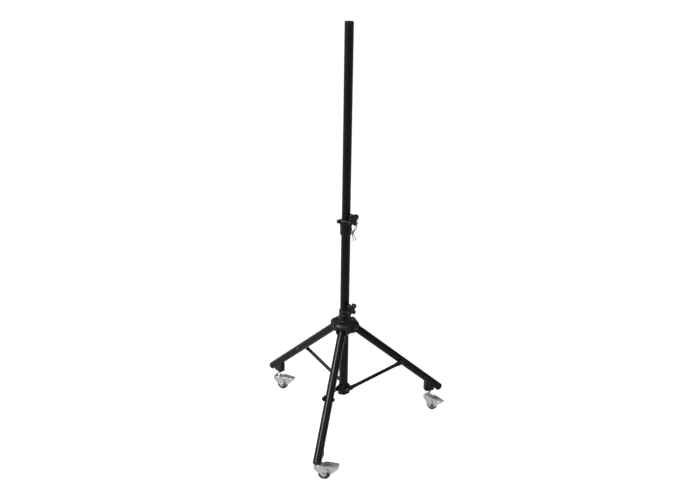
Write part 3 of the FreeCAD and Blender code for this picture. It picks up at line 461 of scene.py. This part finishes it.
def keep(node, slot, width=0.0):
    """Give a CAD node its finished material and round its sharp edges to a width in mm."""
    part = NODES[node]
    part.data.materials.clear()
    part.data.materials.append(MATERIALS[slot])
    part.data.polygons.foreach_set("use_smooth", [True] * len(part.data.polygons))
    if width:
        weld = part.modifiers.new("weld", "WELD")
        weld.merge_threshold = 1e-6
        bevel = part.modifiers.new("soft_edges", "BEVEL")
        bevel.width = width * MM
        bevel.segments = 2
        bevel.limit_method = "ANGLE"
        bevel.angle_limit = math.radians(40.0)
        bevel.harden_normals = True
    part.data.update()


def keep_cad():
    """Every CAD node takes its slot's material; some get rounder edges."""
    rounding = {"upper_collar": 0.7, "hub_carriage": 1.0, "lower_hub": 1.2, "pole_end_cap": 0.6}
    for leg in LEGS:
        rounding[leg + "_castor_bracket"] = 1.2
        rounding[leg + "_castor_fork"] = 0.5
        rounding[leg + "_brake_pedal"] = 0.6
    for part in frame["record"]["subparts"]:
        node = part["node"]
        if node in NODES:
            keep(node, part["material_slot"], rounding.get(node, 0.0))


# ---------------------------------------------------------------- star knobs

KNOB_LOBE = 8.8
KNOB_REACH = 19.8
KNOB_CORE = 15.4
KNOB_BOTTOM = 0.3
KNOB_TOP = 17.7
KNOB_STEPS = 128
KNOB_TURNS = {"upper_knob": 28.0, "lower_knob": 38.0}


def star_radius(angle, turn):
    """Outer radius of the four-lobed knob, with soft hollows between the lobes."""
    best = 0.0
    for i in range(4):
        delta = angle - math.radians(turn + 90 * i)
        side = KNOB_REACH * math.sin(delta)
        if abs(side) < KNOB_LOBE and math.cos(delta) > 0:
            best = max(best, KNOB_REACH * math.cos(delta) + math.sqrt(KNOB_LOBE ** 2 - side ** 2))
    power = 9.0
    return (max(best, 1.0) ** power + KNOB_CORE ** power) ** (1 / power)


def make_knob(name):
    """A star knob: lobes with rolled edges, a dished face, a centre cap and a short neck."""
    joint = JOINTS[name + "_turn"]
    matrix = frame_at(Vector(joint["pos_m"]), Vector(joint["axis"]))
    low, high = KNOB_BOTTOM, KNOB_TOP
    rim = [(-5.0, low + 1.5), (-3.4, low + 0.2), (-1.4, low + 0.5), (-0.4, low + 1.6),
           (0.0, low + 3.2), (-0.1, 9.0), (-0.4, high - 4.0), (-0.9, high - 2.3),
           (-2.2, high - 0.9), (-4.2, high - 0.3)]
    rows = []
    for inset, height in rim:
        row = []
        for i in range(KNOB_STEPS):
            angle = 2 * math.pi * i / KNOB_STEPS
            radius = star_radius(angle, KNOB_TURNS[name]) + inset
            row.append((radius * math.cos(angle), radius * math.sin(angle), height))
        rows.append(row)
    for radius, height in ((8.6, high - 0.5), (8.5, high - 1.8)):
        rows.append(circle_row(radius, height, KNOB_STEPS))
    bm = bmesh.new()
    add_rows(bm, rows)
    add_piece(name + "_star", bm, matrix, "knob_plastic", name, [name])

    bm = bmesh.new()
    lathe(bm, [(0, high - 0.2), (4.0, high - 0.3), (7.0, high - 0.8), (8.0, high - 1.7),
               (8.0, high - 2.2), (0, high - 2.2)], 48, closed=False)
    add_piece(name + "_cap", bm, matrix, "cap_plastic", name)
    bm = bmesh.new()
    lathe(bm, [(4.1, -1.5), (8.2, -1.5), (9.2, -0.7), (9.5, 2.2), (4.1, 2.2)], 48)
    add_piece(name + "_neck", bm, matrix, "knob_plastic", name)


# ---------------------------------------------------------------- pin and ring

RING_LEAN = math.radians(18.0)
RING_RADIUS = 14.0
RING_STRAND = 0.6
# From the column's axis to the pin's tip, and from the tip to the ring's hole.
PIN_TIP_REACH = 19.6
PIN_HOLE_REACH = 30.9


def make_ring():
    """The split pull ring: two close turns of wire that cross over in one place."""
    low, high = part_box("pin_ring")
    pin = Vector(JOINTS["pin_slide"]["axis"]).normalized()
    axis = pin * math.cos(RING_LEAN) - UP * math.sin(RING_LEAN)
    matrix = frame_at((low + high) / 2, axis)
    steps = 160
    turns = 2
    start_angle = 0.6
    crossing = 24.0
    curve = bpy.data.curves.new("split_ring", "CURVE")
    curve.dimensions = "3D"
    spline = curve.splines.new("POLY")
    spline.points.add(steps)
    for i, point in enumerate(spline.points):
        share = i / steps
        angle = turns * 2 * math.pi * share + start_angle
        step = 1.0 / (1.0 + math.exp(-(share - 0.5) * crossing))
        height = RING_STRAND * (2.0 * step - 1.0)
        x, y = RING_RADIUS * math.cos(angle), RING_RADIUS * math.sin(angle)
        point.co = (*(matrix @ (Vector((x, y, height)) * MM)), 1)
    curve.bevel_depth = RING_STRAND * MM
    curve.bevel_resolution = 3
    curve.use_fill_caps = True
    ring = bpy.data.objects.new("split_ring", curve)
    bpy.context.scene.collection.objects.link(ring)
    curve.materials.append(MATERIALS["pin_steel"])
    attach(ring, "locking_pin")
    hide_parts("pin_ring")


def make_pin():
    """The locking pin: ground shank, relief groove, shoulder and a drilled, domed end."""
    low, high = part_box("locking_pin")
    axis = Vector(JOINTS["pin_slide"]["axis"]).normalized()
    level = (low.z + high.z) / 2
    matrix = frame_at(axis * PIN_TIP_REACH * MM + UP * level, axis)
    bm = bmesh.new()
    tip = [(0, 0), (1.6, 0), (2.6, 0.4), (3.5, 2.2)]
    groove = [(3.5, 20.6), (3.0, 21.2), (3.0, 23.0), (3.5, 23.4)]
    shoulder = [(5.1, 24.4), (5.5, 24.8), (5.5, 26.4), (5.1, 26.8)]
    head = [(4.5, 27.0), (4.5, 32.0), (4.2, 33.2), (3.3, 34.1), (2.0, 34.4), (0, 34.4)]
    lathe(bm, tip + groove + shoulder + head, 40, closed=False)
    pin = add_piece("pin_shaft", bm, matrix, "pin_steel", "locking_pin", ["locking_pin"])

    drill = bpy.data.meshes.new("pin_drill")
    bm = bmesh.new()
    turn = Matrix.Translation((0, 0, PIN_HOLE_REACH)) @ Matrix.Rotation(math.radians(90), 4, "Y")
    lathe(bm, [(0, -8), (1.5, -8), (1.5, 8), (0, 8)], 24, closed=False, matrix=turn)
    bmesh.ops.scale(bm, vec=(MM, MM, MM), verts=bm.verts)
    bm.transform(matrix)
    bmesh.ops.remove_doubles(bm, verts=bm.verts, dist=1e-7)
    bmesh.ops.recalc_face_normals(bm, faces=bm.faces)
    bm.to_mesh(drill)
    bm.free()
    cutter = bpy.data.objects.new("pin_drill", drill)
    bpy.context.scene.collection.objects.link(cutter)
    carve = pin.modifiers.new("ring_hole", "BOOLEAN")
    carve.object = cutter
    carve.operation = "DIFFERENCE"
    drilled = baked(pin)
    pin.modifiers.clear()
    pin.data = drilled
    bpy.data.objects.remove(cutter)


# ---------------------------------------------------------------- fasteners

# Edges sharper than this many degrees stay crisp on bolts, nuts and threads.
FASTENER_SHARP = 25.0
HEX_CHAMFER = 0.9


def hex_head(bm, across_flats, low, high, matrix=None):
    """A chamfered hexagon head or nut."""
    add_rows(bm, hexagon(across_flats, HEX_CHAMFER, low, high), matrix)


def washer(bm, inner, outer, low, high, matrix=None):
    edge = 0.25
    lathe(bm, [(inner, low), (outer - edge, low), (outer, low + edge), (outer, high - edge),
               (outer - edge, high), (inner, high)], 40, matrix=matrix)


def threads(bm, radius, low, high, pitch=1.25, matrix=None):
    """A threaded stub, as a row of fine V rings with a chamfered end."""
    profile = [(0, low)]
    count = max(1, int((high - low - 1.0) / pitch))
    for i in range(count):
        base = low + i * pitch
        profile += [(radius - 0.55, base), (radius, base + pitch / 2)]
    profile += [(radius - 0.6, low + count * pitch), (radius - 1.2, high), (0, high)]
    lathe(bm, profile, 32, closed=False, matrix=matrix)


def leg_directions(leg):
    """Outward and sideways unit vectors of a leg, and its pivot."""
    joint = JOINTS[leg + "_leg_fold"]
    side = Vector(joint["axis"]).normalized()
    outward = side.cross(UP)
    return outward, side, Vector(joint["pos_m"])


CLEVIS_HALF_WIDTH = 21.0


def make_pivot_pins():
    """Hexagon bolts with washers and lock nuts through the three clevises."""
    bm = bmesh.new()
    for leg in LEGS:
        side, pivot = leg_directions(leg)[1:]
        here = across(side)
        here.translation = pivot / MM
        face = CLEVIS_HALF_WIDTH
        washer(bm, 3.0, 7.6, face, face + 1.2, here)
        hex_head(bm, 12.2, face + 1.2, face + 3.9, here)
        threads(bm, 3.6, face + 3.0, face + 5.0, matrix=here)
        washer(bm, 3.0, 7.6, -face - 1.2, -face, here)
        hex_head(bm, 12.2, -face - 4.0, -face - 1.2, here)
    add_piece("pivot_bolts", bm, Matrix.Identity(4), "black_steel", "carriage",
              ["leg_pivot_pins"], FASTENER_SHARP)


def make_leg_fasteners(leg):
    """The brace bolt: nut and washer on the leg, domed head and spacer on the brace."""
    outward, side = leg_directions(leg)[:2]
    low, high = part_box(leg + "_brace_bolt")
    middle = (low + high) / 2
    joint = outward * middle.dot(outward) + UP * middle.z
    here = frame_at(joint, side)
    bm = bmesh.new()
    washer(bm, 3.2, 7.0, 16.9, 18.3)
    hex_head(bm, 12.0, 18.3, 22.4)
    threads(bm, 3.7, 21.0, 23.5)
    lathe(bm, [(0, -17.0), (4.0, -17.0), (4.0, 17.5), (0, 17.5)], 24, closed=False)
    add_piece(leg + "_bolt_nut", bm, here, "black_steel", leg + "_leg",
              [leg + "_brace_bolt"], FASTENER_SHARP)

    bm = bmesh.new()
    washer(bm, 3.5, 7.9, -20.0, -17.5)
    washer(bm, 3.5, 7.9, -25.3, -24.0)
    lathe(bm, [(0, -18.0), (3.9, -18.0), (3.9, -26.0), (0, -26.0)], 24, closed=False)
    lathe(bm, [(0, -28.2), (2.6, -28.2), (2.9, -29.8), (4.4, -29.6), (6.2, -28.6), (7.3, -27.0),
               (7.5, -25.3), (0, -25.3)], 40, closed=False)
    add_piece(leg + "_bolt_head", bm, here, "black_steel", leg + "_brace",
              [leg + "_brace_head"], FASTENER_SHARP)


def make_brace_screws():
    """The three pivot screws in the foot hub, with recessed heads and washers."""
    bm = bmesh.new()
    for leg in LEGS:
        joint = JOINTS[leg + "_brace_fold"]
        side = Vector(joint["axis"]).normalized()
        place = Vector(joint["pos_m"])
        here = across(side)
        here.translation = place / MM
        washer(bm, 3.5, 7.4, 2.3, 3.4, here)
        lathe(bm, [(0, -9.0), (3.95, -9.0), (3.95, 4.0), (0, 4.0)], 24, closed=False, matrix=here)
        lathe(bm, [(0, 6.0), (2.4, 6.0), (2.7, 7.9), (4.2, 7.8), (6.0, 6.8), (7.0, 5.2),
                   (7.1, 3.4), (0, 3.4)], 40, closed=False, matrix=here)
    add_piece("foot_screws", bm, Matrix.Identity(4), "black_steel", "column",
              ["brace_pivot_screws"], FASTENER_SHARP)


# From the leg's pivot to the far end of its cap.
CAP_REACH = 550.6


def make_end_cap(leg):
    """The leg's pressed-in end cap: a domed lip round a shallow dished disc."""
    side, pivot = leg_directions(leg)[1:]
    low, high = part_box(leg + "_leg_tube")
    along = (low + high) / 2 - pivot
    along -= side * along.dot(side)
    matrix = frame_at(pivot, along)
    end = CAP_REACH
    lip = [(0, end - 2.6), (10.5, end - 2.4), (11.6, end - 2.0), (12.1, end - 1.0),
           (12.9, end - 0.2)]
    lip += arc(11.9, end - 5.2, 5.1, 75.0, 0.0, 7)
    lip += [(17.0, end - 9.4), (16.8, end - 10.0), (15.4, end - 10.0), (15.4, end - 24.0),
            (0, end - 24.0)]
    bm = bmesh.new()
    lathe(bm, lip, 64, closed=False)
    add_piece(leg + "_end_cap", bm, matrix, "cap_plastic", leg + "_leg", [leg + "_leg_cap"], 40.0)


# ---------------------------------------------------------------- castors

WHEEL_AXLE_HALF = 14.0
WHEEL_RIBS = 5
GRIP_FIRST = 6.0
GRIP_STEP = 5.0
GRIP_BARS = 6


def castor_frames(leg):
    """The castor's floor frame, with X towards the pedal, and the wheel's own frame."""
    swivel = Vector(JOINTS[leg + "_castor_swivel"]["pos_m"])
    roll = JOINTS[leg + "_wheel_roll"]
    axle = Vector(roll["axis"]).normalized()
    ground = upright_frame(Vector((swivel.x, swivel.y, 0)), axle.cross(UP))
    return ground, frame_at(Vector(roll["pos_m"]), axle)


def make_stem(leg, ground):
    """The castor's threaded stem with its lock nut, spring washer and plate washers."""
    bm = bmesh.new()
    threads(bm, 5.0, 57.0, 84.0)
    washer(bm, 4.3, 7.5, 66.6, 67.8)
    washer(bm, 4.3, 7.8, 67.9, 69.0)
    hex_head(bm, 15.8, 82.0, 89.2)
    washer(bm, 4.3, 8.4, 89.2, 90.8)
    washer(bm, 4.3, 11.0, 90.9, 93.0)
    lathe(bm, [(0, 81.0), (5.0, 81.0), (5.0, 107.5), (0, 107.5)], 24, closed=False)
    add_piece(leg + "_stem_nut", bm, ground, "zinc_plate", leg + "_leg",
              [leg + "_castor_stem"], FASTENER_SHARP)


def make_race(leg, ground):
    """The pressed bearing cup and dust cover on top of the fork."""
    bm = bmesh.new()
    cup = [(6.2, 63.8), (13.0, 63.8)]
    cup += arc(13.0, 62.4, 3.0, 80.0, 0.0, 5)
    cup += [(16.0, 58.8), (15.0, 58.8), (14.4, 62.0), (6.2, 62.0)]
    lathe(bm, cup, 56)
    lathe(bm, [(5.4, 64.4), (9.0, 64.4), (12.6, 63.9), (13.2, 64.6), (12.6, 65.9), (9.4, 66.7),
               (5.4, 66.7)], 56)
    add_piece(leg + "_bearing_cup", bm, ground, "zinc_plate", leg + "_castor")


def make_axle(leg, wheel):
    """Hexagon axle bolt and nut outside the fork's legs."""
    bm = bmesh.new()
    lathe(bm, [(0, -15.0), (3.9, -15.0), (3.9, 15.0), (0, 15.0)], 24, closed=False)
    hex_head(bm, 11.0, WHEEL_AXLE_HALF, WHEEL_AXLE_HALF + 2.9)
    hex_head(bm, 11.0, -WHEEL_AXLE_HALF - 2.9, -WHEEL_AXLE_HALF)
    add_piece(leg + "_axle_bolt", bm, wheel, "zinc_plate", leg + "_castor",
              [leg + "_wheel_axle"], FASTENER_SHARP)


def make_wheel(leg, wheel):
    """Tyre with rounded shoulders and a mould line, on a ribbed plastic centre."""
    tread = [(17.5, -8.0), (18.3, -8.8), (19.8, -9.4), (21.4, -9.5)]
    tread += arc(21.2, -5.8, 3.7, -85.0, -8.0, 7)
    tread += [(24.93, -2.0), (24.9, -0.4), (25.0, -0.25), (25.0, 0.25), (24.9, 0.4), (24.93, 2.0)]
    tread += arc(21.2, 5.8, 3.7, 8.0, 85.0, 7)
    tread += [(21.4, 9.5), (19.8, 9.4), (18.3, 8.8), (17.5, 8.0)]
    bm = bmesh.new()
    lathe(bm, tread, 96)
    add_piece(leg + "_tread", bm, wheel, "tyre_rubber", leg + "_wheel", [leg + "_tyre"], 50.0)

    bm = bmesh.new()
    half = [(4.1, 11.7), (6.4, 11.7), (7.1, 11.0), (7.6, 6.0), (8.6, 5.2), (13.6, 4.6),
            (14.6, 5.2), (15.2, 7.4), (15.8, 8.2), (17.3, 8.2), (17.5, 7.8)]
    mirrored = [(r, -z) for r, z in reversed(half)]
    lathe(bm, half + mirrored, 72)
    rib = [(6.8, -1.1), (15.4, -0.8), (15.4, 0.8), (6.8, 1.1)]
    for i in range(WHEEL_RIBS):
        turn = Matrix.Rotation(2 * math.pi * i / WHEEL_RIBS, 4, "Z")
        for low, high in ((3.6, 7.4), (-7.4, -3.6)):
            prism(bm, rib, low, high, turn)
    add_piece(leg + "_wheel_core", bm, wheel, "wheel_plastic", leg + "_wheel",
              [leg + "_wheel_centre"], 40.0)


def make_pedal_grip(leg, ground):
    """Anti-slip bars across the sloping top of the brake pedal."""
    bm = bmesh.new()
    first, last = Vector((36.0, 0, 68.0)), Vector((76.0, 0, 63.5))
    slope = (last - first).normalized()
    up = Vector((-slope.z, 0, slope.x))
    for i in range(GRIP_BARS):
        centre = first + slope * (GRIP_FIRST + GRIP_STEP * i)
        here = Matrix((slope, Vector((0, 1, 0)), up)).transposed().to_4x4()
        here.translation = centre
        rows = []
        for half_x, half_y, height in ((1.2, 11.0, -0.4), (1.0, 10.8, 0.5), (0.5, 10.2, 0.95)):
            rows.append([(-half_x, -half_y, height), (half_x, -half_y, height),
                         (half_x, half_y, height), (-half_x, half_y, height)])
        add_rows(bm, rows, here)
    add_piece(leg + "_pedal_grip", bm, ground, "zinc_plate", leg + "_pedal")


def make_castor(leg):
    ground, wheel = castor_frames(leg)
    make_stem(leg, ground)
    make_race(leg, ground)
    make_axle(leg, wheel)
    make_wheel(leg, wheel)
    make_pedal_grip(leg, ground)


# ---------------------------------------------------------------- lanyard

# The control points of the four strands, in metres, the same as in the CAD part.
LANYARD_ROUTE = [
    (0.0339, -0.0225, 0.9058), (0.0352, -0.0145, 0.9080), (0.0359, -0.0040, 0.9108),
    (0.0352, 0.0068, 0.9144), (0.0345, 0.0140, 0.9171), (0.0338, 0.0186, 0.9198),
    (0.0363, 0.0225, 0.9208), (0.0394, 0.0235, 0.9171), (0.0400, 0.0203, 0.9130),
    (0.0403, 0.0146, 0.9118), (0.0397, 0.0056, 0.9092), (0.0384, -0.0048, 0.9058),
    (0.0366, -0.0144, 0.9034), (0.0350, -0.0226, 0.9026)]
EYE_LOOP_ROUTE = [
    (0.0322, -0.0226, 0.9053), (0.0325, -0.0178, 0.9075), (0.0296, -0.0140, 0.9105),
    (0.0257, -0.0142, 0.9120), (0.0225, -0.0176, 0.9123), (0.0200, -0.0215, 0.9120),
    (0.0208, -0.0254, 0.9105), (0.0251, -0.0272, 0.9075), (0.0297, -0.0258, 0.9053)]
TAIL_A_ROUTE = [
    (0.0335, -0.0268, 0.9000), (0.0331, -0.0278, 0.8925), (0.0348, -0.0279, 0.8845),
    (0.0367, -0.0264, 0.8770), (0.0375, -0.0252, 0.8680)]
TAIL_B_ROUTE = [
    (0.0352, -0.0256, 0.9006), (0.0377, -0.0246, 0.8940), (0.0420, -0.0237, 0.8882),
    (0.0453, -0.0229, 0.8805), (0.0469, -0.0223, 0.8715)]
CORD_DIAMETER = 0.003


def smooth_curve(name, route, radius, closed=False):
    """A round NURBS strand with the route's points as its control points."""
    curve = bpy.data.curves.new(name, "CURVE")
    curve.dimensions = "3D"
    spline = curve.splines.new("NURBS")
    spline.points.add(len(route) - 1)
    for point, place in zip(spline.points, route):
        point.co = (*place, 1)
    spline.order_u = 3
    spline.use_endpoint_u = not closed
    spline.use_cyclic_u = closed
    curve.resolution_u = 8
    curve.bevel_depth = radius
    curve.bevel_resolution = 4
    curve.use_fill_caps = True
    strand = bpy.data.objects.new(name, curve)
    bpy.context.scene.collection.objects.link(strand)
    return strand


def centre_line(strand):
    """The points along a curve's own line, in metres."""
    depth = strand.data.bevel_depth
    strand.data.bevel_depth = 0.0
    mesh = baked(strand)
    points = [vertex.co.copy() for vertex in mesh.vertices]
    bpy.data.meshes.remove(mesh)
    strand.data.bevel_depth = depth
    return points


def as_mesh(strand):
    """The same strand as a mesh tube."""
    name = strand.name
    tube = bpy.data.objects.new(name + "_tube", baked(strand))
    bpy.data.objects.remove(strand)
    for polygon in tube.data.polygons:
        polygon.use_smooth = True
    bpy.context.scene.collection.objects.link(tube)
    return tube


def make_knot():
    """The overhand knot where the loops and tails meet, as one closed strand wound in a trefoil."""
    low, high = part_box("lanyard_knot")
    centre = (low + high) / 2
    size = (high.x - low.x) / 2
    route = []
    for i in range(24):
        t = 2 * math.pi * i / 24
        x = math.sin(t) + 2 * math.sin(2 * t)
        y = math.cos(t) - 2 * math.cos(2 * t)
        z = -math.sin(3 * t)
        route.append(centre + Vector((z * 0.55, x * 0.42, y * 0.42)) * (size / 1.55))
    knot = smooth_curve("knot", route, CORD_DIAMETER / 2, True)
    knot.data.materials.append(MATERIALS["cord_black"])
    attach(knot, "column")
    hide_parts("lanyard_knot")
    return knot


def make_lanyard():
    """The pin's lanyard: a loop to the ring, a loop through the eyelet, a knot and two tails."""
    knot = make_knot()
    strands = (("lanyard_cord", LANYARD_ROUTE, "object", "loose"),
               ("lanyard_eye_loop", EYE_LOOP_ROUTE, "object", "loose"),
               ("lanyard_tail_a", TAIL_A_ROUTE, "bare", "hanging"),
               ("lanyard_tail_b", TAIL_B_ROUTE, "bare", "hanging"))
    for name, route, far_end, lay in strands:
        strand = smooth_curve(name + "_strand", route, CORD_DIAMETER / 2)
        strand.data.materials.append(MATERIALS["cord_black"])
        line = centre_line(strand)
        if name == "lanyard_cord":
            strand = as_mesh(strand)
            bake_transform(strand)
        else:
            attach(strand, "column")
        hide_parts(name)


# ---------------------------------------------------------------- stage

def area_light(name, place, target, size, energy):
    data = bpy.data.lights.new(name, "AREA")
    data.shape = "RECTANGLE"
    data.size, data.size_y = size
    data.energy = energy
    light = bpy.data.objects.new(name, data)
    light.location = place
    light.rotation_euler = (Vector(target) - Vector(place)).to_track_quat("-Z", "Y").to_euler()
    bpy.context.scene.collection.objects.link(light)


WORLD_STRENGTH = 0.35
# The floor's own glow rises along Y between these two places, from the dim to the full level.
FLOOR_DIM_FROM = -2.2
FLOOR_BRIGHT_FROM = -0.6
FLOOR_DIM_GLOW = 0.6
FLOOR_GLOW = 1.03
FLOOR_SIZE = 60.0


def make_stage():
    """A glowing white floor, dimmer in front of the stand than behind it, and soft lights."""
    world = bpy.data.worlds.new("studio")
    world.use_nodes = True
    background = world.node_tree.nodes["Background"]
    background.inputs[0].default_value = (0.95, 0.97, 1.0, 1)
    background.inputs[1].default_value = WORLD_STRENGTH
    bpy.context.scene.world = world

    n = Nodes("floor_pale", (0.05, 0.05, 0.05), 0.8)
    tone = n.noise(3.0, 3.0)
    n.colour(n.blend(tone, (0.045, 0.045, 0.045), (0.055, 0.055, 0.055)))
    ahead = n.add("ShaderNodeSeparateXYZ", Vector=n.place).outputs["Y"]
    glow = n.ramp(ahead, FLOOR_DIM_FROM, FLOOR_BRIGHT_FROM, FLOOR_DIM_GLOW, FLOOR_GLOW)
    n.shader.inputs["Emission Color"].default_value = (1, 1, 1, 1)
    n.tree.links.new(glow, n.shader.inputs["Emission Strength"])
    n.bumps([(n.noise(60.0, 4.0), 0.2, 0.05)])
    bm = bmesh.new()
    bmesh.ops.create_grid(bm, x_segments=4, y_segments=4, size=FLOOR_SIZE)
    mesh = bpy.data.meshes.new("floor")
    bm.to_mesh(mesh)
    bm.free()
    mesh.materials.append(n.material)
    floor = bpy.data.objects.new("floor", mesh)
    bpy.context.scene.collection.objects.link(floor)

    area_light("key", (-1.9, -1.5, 3.1), (0, -0.1, 0.5), (0.7, 2.0), 320.0)
    area_light("fill", (2.6, -1.6, 2.4), (0, 0, 0.4), (1.2, 1.6), 30.0)
    area_light("back", (0.8, 3.0, 2.8), (0, 0, 0.9), (2.4, 1.2), 20.0)
    bpy.context.scene.view_settings.view_transform = "Standard"
    bpy.context.scene.view_settings.look = "None"


make_camera()
make_stage()
make_lanyard()
keep_cad()
for knob in KNOB_TURNS:
    make_knob(knob)
make_pin()
make_ring()
make_pivot_pins()
make_brace_screws()
for each_leg in LEGS:
    make_leg_fasteners(each_leg)
    make_end_cap(each_leg)
    make_castor(each_leg)
